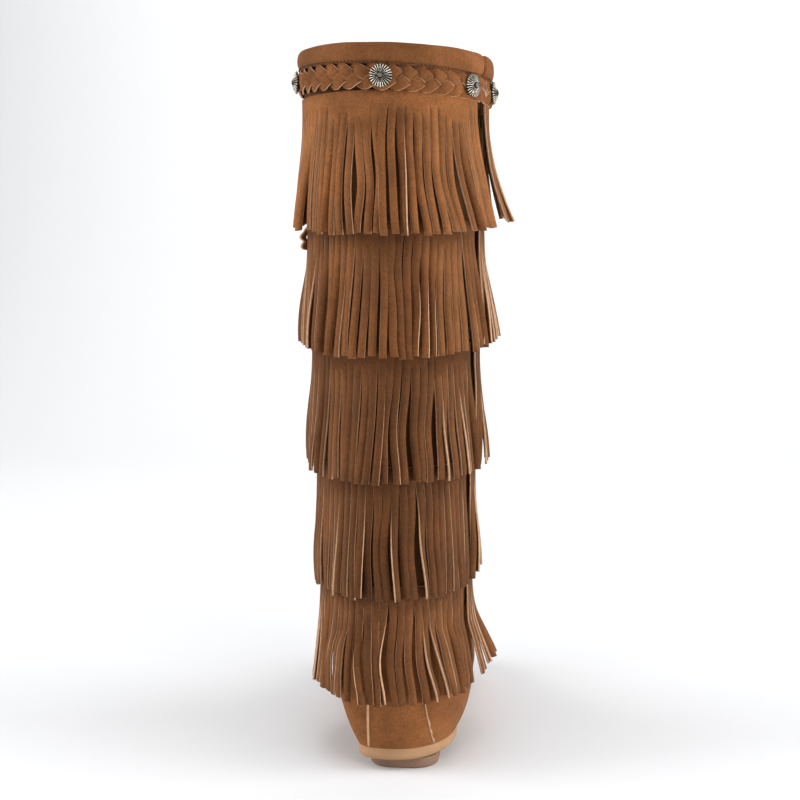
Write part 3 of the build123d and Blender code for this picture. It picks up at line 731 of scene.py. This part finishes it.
def slope_of(node):
    """How far a collar ring's top rises per metre towards +X."""
    tree = tree_of(node)
    low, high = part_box(node)
    heights = [tree.ray_cast(Vector((x, (low.y + high.y) / 2, 1)), Vector((0, 0, -1)))[0].z
               for x in (low.x + RING_INSET, high.x - RING_INSET)]
    return (heights[1] - heights[0]) / (high.x - low.x - 2 * RING_INSET)


TRIM_SLOPE = slope_of("braid_lace_upper")
TOP_SLOPE = slope_of("cuff")
_, _, COLLAR_HALF_X, COLLAR_HALF_Y = OVAL_HIGH
TRIM_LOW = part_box("braid_lace_lower")[0].z - TRIM_SLOPE * COLLAR_HALF_X
TRIM_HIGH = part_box("braid_lace_upper")[1].z + TRIM_SLOPE * COLLAR_HALF_X
COLLAR_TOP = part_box("cuff")[1].z + TOP_SLOPE * COLLAR_HALF_X


def on_collar(angle, out, z, slope=TRIM_SLOPE):
    """A point on the collar's sloping ring; z is its height on the ring's centre line."""
    point, normal = on_shaft(angle, z, out)
    point.z += slope * (point.x - oval_at(z)[0])
    return point, normal


def sweep(name, rings, mats, replaced=(), face_mat=None):
    """Skins a list of equal rings of points and caps both ends with the last material."""
    size = len(rings[0])
    verts = [p for ring in rings for p in ring]
    faces, which = [], []
    for r in range(len(rings) - 1):
        for k in range(size):
            a, b = r * size + k, r * size + (k + 1) % size
            faces.append((a, b, b + size, a + size))
            which.append(face_mat(k) if face_mat else 0)
    faces.append(tuple(range(size))[::-1])
    faces.append(tuple((len(rings) - 1) * size + k for k in range(size)))
    which += [len(mats) - 1] * 2
    return piece(name, verts, faces, mats, replaced=replaced, face_mats=which)


def direction_at(places, i):
    """The way a row of places, each led by its point, runs at one of them."""
    before, after = places[max(i - 1, 0)][0], places[min(i + 1, len(places) - 1)][0]
    return (after - before).normalized()


def zip_ends(gap):
    """Start and end oval angles of a ring that is open over the zip."""
    half = gap / 2 / COLLAR_HALF_Y
    return ZIP_ANGLE + half, ZIP_ANGLE + TAU - half


CUFF_GAP = 2.0 * MM  # at the zip
CUFF_HALF_THICKNESS = 4.0 * MM
CUFF_SQUARENESS = (0.72, 0.85)  # across and up; 1 is round and 0 is square
CUFF_FOOT_PINCH = 0.34
CUFF_SETBACK = 0.4 * MM
CUFF_CORNERS = 32  # of its section
CUFF_STATIONS = 240
CUFF_TIPS = (0.74, 0.90, 0.97)  # how its size falls off at either end
CUFF_STITCHES = 150


def cuff_section():
    """The cuff's section: (outward, share of its height), squarish and thin at its foot."""
    section = []
    for k in range(CUFF_CORNERS):
        a = TAU * k / CUFF_CORNERS
        x, z = (math.copysign(abs(c) ** power, c)
                for c, power in zip((math.cos(a), math.sin(a)), CUFF_SQUARENESS))
        belly = 1.0 - CUFF_FOOT_PINCH * max(0.0, -z) ** 2.5
        section.append((CUFF_HALF_THICKNESS * x * belly - CUFF_SETBACK, (z + 1) / 2))
    return section


def make_cuff():
    """The folded collar: a soft roll, uneven all round and stitched at its foot."""
    section = cuff_section()
    start, end = zip_ends(CUFF_GAP)
    rings = []
    for r in range(CUFF_STATIONS + 1):
        a = start + (end - start) * r / CUFF_STATIONS
        tip = min(r, CUFF_STATIONS - r)
        pinch = CUFF_TIPS[tip] if tip < len(CUFF_TIPS) else 1.0
        swell = 1 + 0.07 * smooth_noise(a * 2.5, 1.0) + 0.03 * smooth_noise(a * 11, 5.0)
        sag = 0.4 * MM * smooth_noise(a * 3.1, 3.0)
        ring = []
        for out, share in section:
            share = 0.5 + (share - 0.5) * pinch
            crease = 0.25 * MM * smooth_noise(a * 26, share * 3, 8.0) * (1 - share)
            foot, _ = on_collar(a, out * pinch * swell + crease, TRIM_HIGH - 0.5 * MM)
            top, _ = on_collar(a, out * pinch * swell + crease, COLLAR_TOP + sag, TOP_SLOPE)
            ring.append(foot.lerp(top, share))
        rings.append(ring)
    cuff = sweep("cuff_roll", rings, [SUEDE], ["cuff"])
    foot_row = [on_collar(start + (end - start) * r / CUFF_STITCHES, 2.7 * MM,
                          TRIM_HIGH + 1.0 * MM) for r in range(1, CUFF_STITCHES)]
    stitch_row("cuff_stitches", foot_row, 1.5 * MM, 0.34 * MM, DARK_THREAD)


BRAID_GAP = 3.4 * MM  # at the zip
BRAID_TURNS = 12.67  # plaits round the collar
BRAID_STEPS = 340
BRAID_OUT = 2.3 * MM  # of the braid's middle from the shaft
BRAID_DEPTH = 1.15 * MM  # how far a lace passes over and under
LACE_HALF_WIDTH = 3.6 * MM
LACE_HALF_THICKNESS = 0.75 * MM
LACE_INSIDE = 0.80  # of its half width stays inside the band where it turns
LACE_ROLL = 0.22  # of its face towards the turn
LACE_SECTION = [(-1, 0), (-0.94, 0.75), (-0.5, 1.05), (0, 1.12), (0.5, 1.05), (0.94, 0.75),
                (1, 0), (0.94, -0.75), (0.4, -0.9), (-0.4, -0.9), (-0.94, -0.75)]
LACE_EDGE_FACES = {0, 5, 6, 10}
ZIGZAG = 0.94  # 0 swings a lace in a wave, 1 in straight zigzags


def make_braid():
    """Three flat laces plaited in a flat band round the collar."""
    centre, height = (TRIM_LOW + TRIM_HIGH) / 2, TRIM_HIGH - TRIM_LOW
    sway = height / 2 - LACE_HALF_WIDTH * LACE_INSIDE
    start, end = zip_ends(BRAID_GAP)
    for k, lane in enumerate(("lower", "middle", "upper")):
        centres = []
        for r in range(BRAID_STEPS + 1):
            share = r / BRAID_STEPS
            a = start + (end - start) * share
            phase = TAU * (BRAID_TURNS * share + k / 3) + 0.35 * smooth_noise(a * 3, k * 2.0) \
                + 1.3 * smooth_noise(a * 1.3, 11.0)
            wobble = 1 + 0.10 * smooth_noise(a * 4, k * 5.0)
            zigzag = math.asin(ZIGZAG * math.sin(phase)) / math.asin(ZIGZAG)
            p, n = on_collar(a, BRAID_OUT - BRAID_DEPTH * math.sin(2 * phase),
                             centre + sway * wobble * zigzag)
            centres.append((p, n, zigzag))
        rings = []
        for r, (p, n, side) in enumerate(centres):
            along = direction_at(centres, r)
            across = n.cross(along).normalized()
            lift = along.cross(across).normalized()
            if lift.dot(n) < 0:
                lift = -lift
            roll = LACE_ROLL * side * (1 if across.z > 0 else -1)
            across = (across - lift * roll).normalized()
            rings.append([p + across * x * LACE_HALF_WIDTH + lift * y * LACE_HALF_THICKNESS
                          for x, y in LACE_SECTION])
        sweep(f"braid_strand_{k + 1}", rings, [SUEDE, EDGE], [f"braid_lace_{lane}"],
              face_mat=lambda c: 1 if c in LACE_EDGE_FACES else 0)


def islands(mesh):
    """The separate solids of a CAD node, as lists of their points."""
    pairs = [tuple(e.vertices) for e in mesh.edges]
    spots = {}
    for v in mesh.vertices:
        spots.setdefault(tuple(round(c, 6) for c in v.co), []).append(v.index)
    pairs += [(group[0], other) for group in spots.values() for other in group[1:]]
    links = {}
    for a, b in pairs:
        links.setdefault(a, []).append(b)
        links.setdefault(b, []).append(a)
    seen, found = set(), []
    for v in mesh.vertices:
        if v.index in seen:
            continue
        stack, group = [v.index], []
        seen.add(v.index)
        while stack:
            i = stack.pop()
            group.append(mesh.vertices[i].co.copy())
            for j in links.get(i, ()):
                if j not in seen:
                    seen.add(j)
                    stack.append(j)
        found.append(group)
    return found


CONCHO_RIBS = 24
CONCHO_PETALS = 8
CONCHO_RINGS = 26
CONCHO_SPOKES = CONCHO_RIBS * 8
DIMPLE_END = 0.06  # these are shares of the radius
BOSS_END = 0.22
BOSS_RADIUS = 0.24
GROOVE_END = 0.30
RIBS_END = 0.86
BEAD_MIDDLE = 0.93
BEAD_HALF_WIDTH = 0.075


def concho_relief(r, a):
    """Height share and polish of a concho's face at a radius share and an angle."""
    rib = 0.5 + 0.5 * math.cos(CONCHO_RIBS * a)
    dome = 1 - 0.74 * r ** 2.2
    if r < BOSS_END:
        petals = 0.5 + 0.5 * math.cos(CONCHO_PETALS * a)
        boss = math.sqrt(max(0.0, 1 - (r / BOSS_RADIUS) ** 2))
        centre = 0.9 if r < DIMPLE_END else 0.6 + 0.4 * petals
        return dome + 0.12 * boss * centre, 0.10 + 0.45 * boss * centre * petals
    if r < GROOVE_END:
        return dome - 0.12, 0.0
    if r < RIBS_END:
        ridge_height = rib ** 1.8
        return dome - 0.16 * (1 - ridge_height), ridge_height ** 1.5
    away = (r - BEAD_MIDDLE) / BEAD_HALF_WIDTH
    bead = math.sqrt(max(0.0, 1 - away ** 2)) * (0.35 + 0.65 * rib)
    return dome - 0.14 + 0.22 * bead, 0.05 + 0.85 * bead * rib


def concho_seat(group):
    """Centre of a CAD concho's back, its outward normal, radius and height."""
    middle_point = sum(group, Vector()) / len(group)
    _, normal = on_shaft(angle_of(middle_point), middle_point.z)
    depths = [p.dot(normal) for p in group]
    low = [p for p in group if p.dot(normal) < min(depths) + 0.2 * MM]
    seat = sum(low, Vector()) / len(low)
    radius = max((p - seat - normal * (p - seat).dot(normal)).length for p in group)
    return seat, normal, radius, max(depths) - min(depths)


def make_conchos():
    """Ribbed studs with a flower in the middle, one on each CAD dome."""
    verts, faces, relief = [], [], []
    turns = [TAU * k / CONCHO_SPOKES for k in range(CONCHO_SPOKES)]
    for group in islands(NODES["conchos"].data):
        seat, normal, radius, rise = concho_seat(group)
        side = Vector((0, 0, 1)).cross(normal).normalized()
        up = normal.cross(side)
        spots = [side * math.cos(a) + up * math.sin(a) for a in turns]
        start = len(verts)
        verts.append(seat + normal * rise * 1.08)
        relief.append(0.9)
        for i in range(1, CONCHO_RINGS + 1):
            r = i / CONCHO_RINGS
            for a, spot in zip(turns, spots):
                height, polish = concho_relief(r, a)
                notch = 0.10 * max(0.0, (r - 0.9) / 0.1)
                edge = 1 - notch * (0.5 - 0.5 * math.cos(CONCHO_RIBS * a))
                if i == CONCHO_RINGS:
                    height, polish = 0.10, 0.2
                verts.append(seat + spot * r * radius * edge + normal * rise * height)
                relief.append(polish)
        back = len(verts)
        verts += [seat + spot * radius * 0.9 for spot in spots]
        verts.append(seat)
        relief += [0.0] * (CONCHO_SPOKES + 1)
        for k in range(CONCHO_SPOKES):
            n = (k + 1) % CONCHO_SPOKES
            faces.append((start, start + 1 + k, start + 1 + n))
            for i in range(CONCHO_RINGS - 1):
                a = start + 1 + i * CONCHO_SPOKES
                faces.append((a + k, a + CONCHO_SPOKES + k, a + CONCHO_SPOKES + n, a + n))
            last = start + 1 + (CONCHO_RINGS - 1) * CONCHO_SPOKES
            faces.append((last + k, back + k, back + n, last + n))
            faces.append((back + k, back + CONCHO_SPOKES, back + n))
    obj = piece("concho_faces", verts, faces, [SILVER], ["conchos"])
    polish = obj.data.attributes.new("relief", "FLOAT", "POINT")
    polish.data.foreach_set("value", relief)


# Stitching and seams -------------------------------------------------
STITCH_SIDES = 6
TUBE_SIDES = 8  # of ridges and gathers
STITCH_SHAPE = ((-1.0, 0.35, -0.7), (-0.7, 0.9, 0.1), (0.0, 1.0, 0.6), (0.7, 0.9, 0.1),
                (1.0, 0.35, -0.7))  # along, then radius and lift as shares of the thread's


def rounds(faces, start, count, sides):
    """Adds the faces of a capped tube whose rings of points follow one another."""
    for s in range(count - 1):
        for k in range(sides):
            a, b = start + s * sides + k, start + s * sides + (k + 1) % sides
            faces.append((a, b, b + sides, a + sides))
    faces.append(tuple(start + k for k in range(sides))[::-1])
    faces.append(tuple(start + (count - 1) * sides + k for k in range(sides)))


def stitch_row(name, places, length, radius, mat, slant=0.0, replaced=()):
    """Short thread stitches, one at each (point, normal), along the row's own direction."""
    verts, faces = [], []
    for i, (p, n) in enumerate(places):
        along = direction_at(places, i)
        across = n.cross(along).normalized()
        heading = (along * math.cos(slant) + across * math.sin(slant)).normalized()
        side = n.cross(heading).normalized()
        start = len(verts)
        for s, w, h in STITCH_SHAPE:
            for k in range(STITCH_SIDES):
                a = TAU * k / STITCH_SIDES
                verts.append(p + heading * s * length / 2 + n * radius * h
                             + (side * math.cos(a) + n * math.sin(a)) * radius * w)
        rounds(faces, start, len(STITCH_SHAPE), STITCH_SIDES)
    piece(name, verts, faces, [mat], replaced)


SEAM_FOOT = 1 * MM  # above the panel's lowest point
SEAM_TOP = 70 * MM  # above the floor
SEAM_POINTS = 26
PANEL_REACH = 40 * MM  # from the heel panel's middle to beyond its edge
HALVINGS = 14  # to close in on the edge


def panel_edge(side):
    """Points up one side edge of the heel's panel, with normals; side is -1 or 1."""
    panel = tree_of("heel_panel")
    centre = middle("heel_panel").x
    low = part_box("heel_panel")[0].z + SEAM_FOOT
    places = []
    for i in range(SEAM_POINTS + 1):
        z = low + (SEAM_TOP - low) * i / SEAM_POINTS
        inside, outside = centre, centre + side * PANEL_REACH
        for _ in range(HALVINGS):
            x = (inside + outside) / 2
            if panel.ray_cast(Vector((x, -FAR, z)), Vector((0, 1, 0)))[0]:
                inside = x
            else:
                outside = x
        hit = FOOT_TREE.ray_cast(Vector((inside, -FAR, z)), Vector((0, 1, 0)))
        places.append((hit[0], hit[1]))
    return places


def ridge(name, places, width, height, mat):
    """A low raised edge that follows points on a surface."""
    rings = []
    for i, (p, n) in enumerate(places):
        side = n.cross(direction_at(places, i)).normalized()
        turns = [TAU * k / TUBE_SIDES for k in range(TUBE_SIDES)]
        rings.append([p + side * width / 2 * math.cos(a) + n * height * math.sin(a)
                      for a in turns])
    sweep(name, rings, [mat])


def make_stitching():
    """The heel panel's seams: raw edges, three long stitches and a row of short ones."""
    left, right = panel_edge(-1), panel_edge(1)
    ridge("heel_seam_left_edge", left, 1.5 * MM, 0.8 * MM, EDGE)
    ridge("heel_seam_right_edge", right, 0.8 * MM, 0.5 * MM, EDGE)
    beside = [(p + Vector((0.5 * MM, 0, 0)), n) for p, n in right[1:10:3]]
    stitch_row("heel_seam_right_stitches", beside, 4.6 * MM, 0.40 * MM, PALE_THREAD)
    inside = [(p + Vector((2.4 * MM, 0, 0)), n) for p, n in left]
    stitch_row("heel_seam_left_stitches", inside, 1.3 * MM, 0.26 * MM, DARK_THREAD)


GATHER = ((0.2, 0.9, 0.9), (2.0, 1.0, 1.1), (4.2, 0.85, 0.8), (6.6, 0.5, 0.25),
          (8.0, 0.2, -0.1))  # mm outward, then width and height as shares
GATHER_HALF_WIDTH = 0.85  # mm
GATHER_HEIGHT = 0.55  # mm
GATHER_LIFT = 0.15  # mm off the suede
WHIP_SLANT = 1.15  # radians across the seam
SEAM_SPLIT = 3  # places along the seam for each CAD stitch
HUB_SETBACK = 0.01  # of the point that the seam is ordered round


def make_apron_seam():
    """The puckered seam round the toe: gathers outside a whip-stitched ridge."""
    groups = islands(NODES["apron_stitches"].data)
    centres = [sum(g, Vector()) / len(g) for g in groups]
    hub = Vector((sum(c.x for c in centres) / len(centres),
                  sum(c.y for c in centres) / len(centres) - HUB_SETBACK, 0))
    centres.sort(key=lambda c: math.atan2(c.x - hub.x, c.y - hub.y))
    dense = []
    for a, b in zip(centres, centres[1:]):
        for k in range(SEAM_SPLIT):
            near, normal, _, _ = FOOT_TREE.find_nearest(a.lerp(b, k / SEAM_SPLIT))
            dense.append((near, normal))
    ridge("apron_seam", dense, 2.6 * MM, 1.0 * MM, SUEDE)
    verts, faces = [], []
    for i, (p, n) in enumerate(dense[1:-1], 1):
        along = (dense[i + 1][0] - dense[i - 1][0]).normalized()
        across = n.cross(along).normalized()
        if across.dot(p - hub) < 0:
            across = -across
        start = len(verts)
        for reach, wide, high in GATHER:
            centre = p + across * reach * MM
            near, lift, _, _ = FOOT_TREE.find_nearest(centre)
            for k in range(TUBE_SIDES):
                a = TAU * k / TUBE_SIDES
                bulge = high * GATHER_HEIGHT * MM * (0.4 + math.sin(a))
                verts.append(near + along * wide * GATHER_HALF_WIDTH * MM * math.cos(a)
                             + lift * (GATHER_LIFT * MM + bulge))
        rounds(faces, start, len(GATHER), TUBE_SIDES)
    piece("apron_gathers", verts, faces, [SUEDE])
    stitch_row("apron_whip_stitches", [(p + n * 0.7 * MM, n) for p, n in dense], 3.0 * MM,
               0.34 * MM, PALE_THREAD, slant=WHIP_SLANT, replaced=["apron_stitches"])


# Stage ---------------------------------------------------------------
def make_stage():
    """A plain pale floor that curves up into a backdrop."""
    mesh = bpy.data.meshes.new("floor")
    shape = bmesh.new()
    reach, back, rise, bend = 6.0, 2.6, 4.0, 1.2
    profile = [(-reach, 0.0), (back - bend, 0.0)]
    bend_steps = 12
    for k in range(1, bend_steps + 1):
        a = math.pi / 2 * k / bend_steps
        profile.append((back - bend + bend * math.sin(a), bend - bend * math.cos(a)))
    profile.append((back, rise))
    rows = []
    for y, z in profile:
        rows.append([shape.verts.new((x, y, z)) for x in (-reach, reach)])
    for a, b in zip(rows, rows[1:]):
        shape.faces.new((a[0], a[1], b[1], b[0]))
    shape.to_mesh(mesh)
    shape.free()
    mesh.polygons.foreach_set("use_smooth", [True] * len(mesh.polygons))
    floor = bpy.data.objects.new("floor", mesh)
    bpy.context.scene.collection.objects.link(floor)
    paper, *_ = material("paper", 0.9, (0.71, 0.715, 0.725))
    mesh.materials.append(paper)


def lamp(name, place, target, size, power):
    """A soft rectangular lamp aimed at a point; places in metres, power in watts."""
    data = bpy.data.lights.new(name, "AREA")
    data.shape = "RECTANGLE"
    data.size, data.size_y = size
    data.energy = power
    obj = bpy.data.objects.new(name, data)
    obj.location = place
    obj.rotation_euler = (Vector(target) - Vector(place)).to_track_quat("-Z", "Y").to_euler()
    bpy.context.scene.collection.objects.link(obj)


def make_light():
    """Soft studio light from both sides and above, with the backdrop lit on its own."""
    world = bpy.data.worlds.new("studio")
    world.use_nodes = True
    background = world.node_tree.nodes["Background"]
    background.inputs["Color"].default_value = (0.97, 0.98, 1.0, 1)
    background.inputs["Strength"].default_value = 0.22
    bpy.context.scene.world = world
    aim = (0, 0.03, 0.28)
    lamp("left_softbox", (-1.5, -0.15, 0.95), aim, (0.9, 1.2), 18)
    lamp("right_softbox", (1.5, -0.05, 1.0), aim, (0.9, 1.2), 18)
    lamp("top_softbox", (0, -0.4, 2.0), aim, (1.3, 1.0), 15)
    lamp("rear_key", (0.15, -0.9, 1.05), (0, 0, 0.42), (0.7, 0.4), 1.5)
    lamp("low_right_fill", (0.7, -0.35, 0.10), (0.02, 0, 0.04), (0.30, 0.15), 4.6)
    lamp("low_left_fill", (-0.7, -0.35, 0.10), (-0.02, 0, 0.04), (0.30, 0.15), 2.8)
    lamp("backdrop_light", (0, 1.0, 2.0), (0, 2.6, 1.0), (2.0, 1.0), 44)
    bpy.context.scene.view_settings.view_transform = "Standard"


CAMERA_AZIMUTH = math.radians(6)
CAMERA_DISTANCE = 0.870
CAMERA_HEIGHT = 0.295
FOCAL = 1388 / 800  # focal length over picture width
SENSOR_WIDTH = 36
CAMERA_PITCH = math.radians(4.9)
CAMERA_TURN = math.radians(0.3)  # away from the boot's centre line


def make_camera():
    """Behind the boot, a little to its inner side, looking slightly down."""
    data = bpy.data.cameras.new("camera")
    data.sensor_width = SENSOR_WIDTH
    data.lens = SENSOR_WIDTH * FOCAL
    obj = bpy.data.objects.new("camera", data)
    centre = middle("shaft_back") * 0.5 + middle("shaft_front") * 0.5
    obj.location = (centre.x + CAMERA_DISTANCE * math.sin(CAMERA_AZIMUTH),
                    centre.y - CAMERA_DISTANCE * math.cos(CAMERA_AZIMUTH), CAMERA_HEIGHT)
    obj.rotation_euler = (math.pi / 2 - CAMERA_PITCH, 0, CAMERA_AZIMUTH - CAMERA_TURN)
    data.clip_start = 0.01
    bpy.context.scene.collection.objects.link(obj)
    bpy.context.scene.camera = obj


make_camera()
make_stage()
make_light()
dress_cad()
make_fringe()
make_stray_strand()
make_cuff()
make_braid()
make_conchos()
make_stitching()
make_apron_seam()
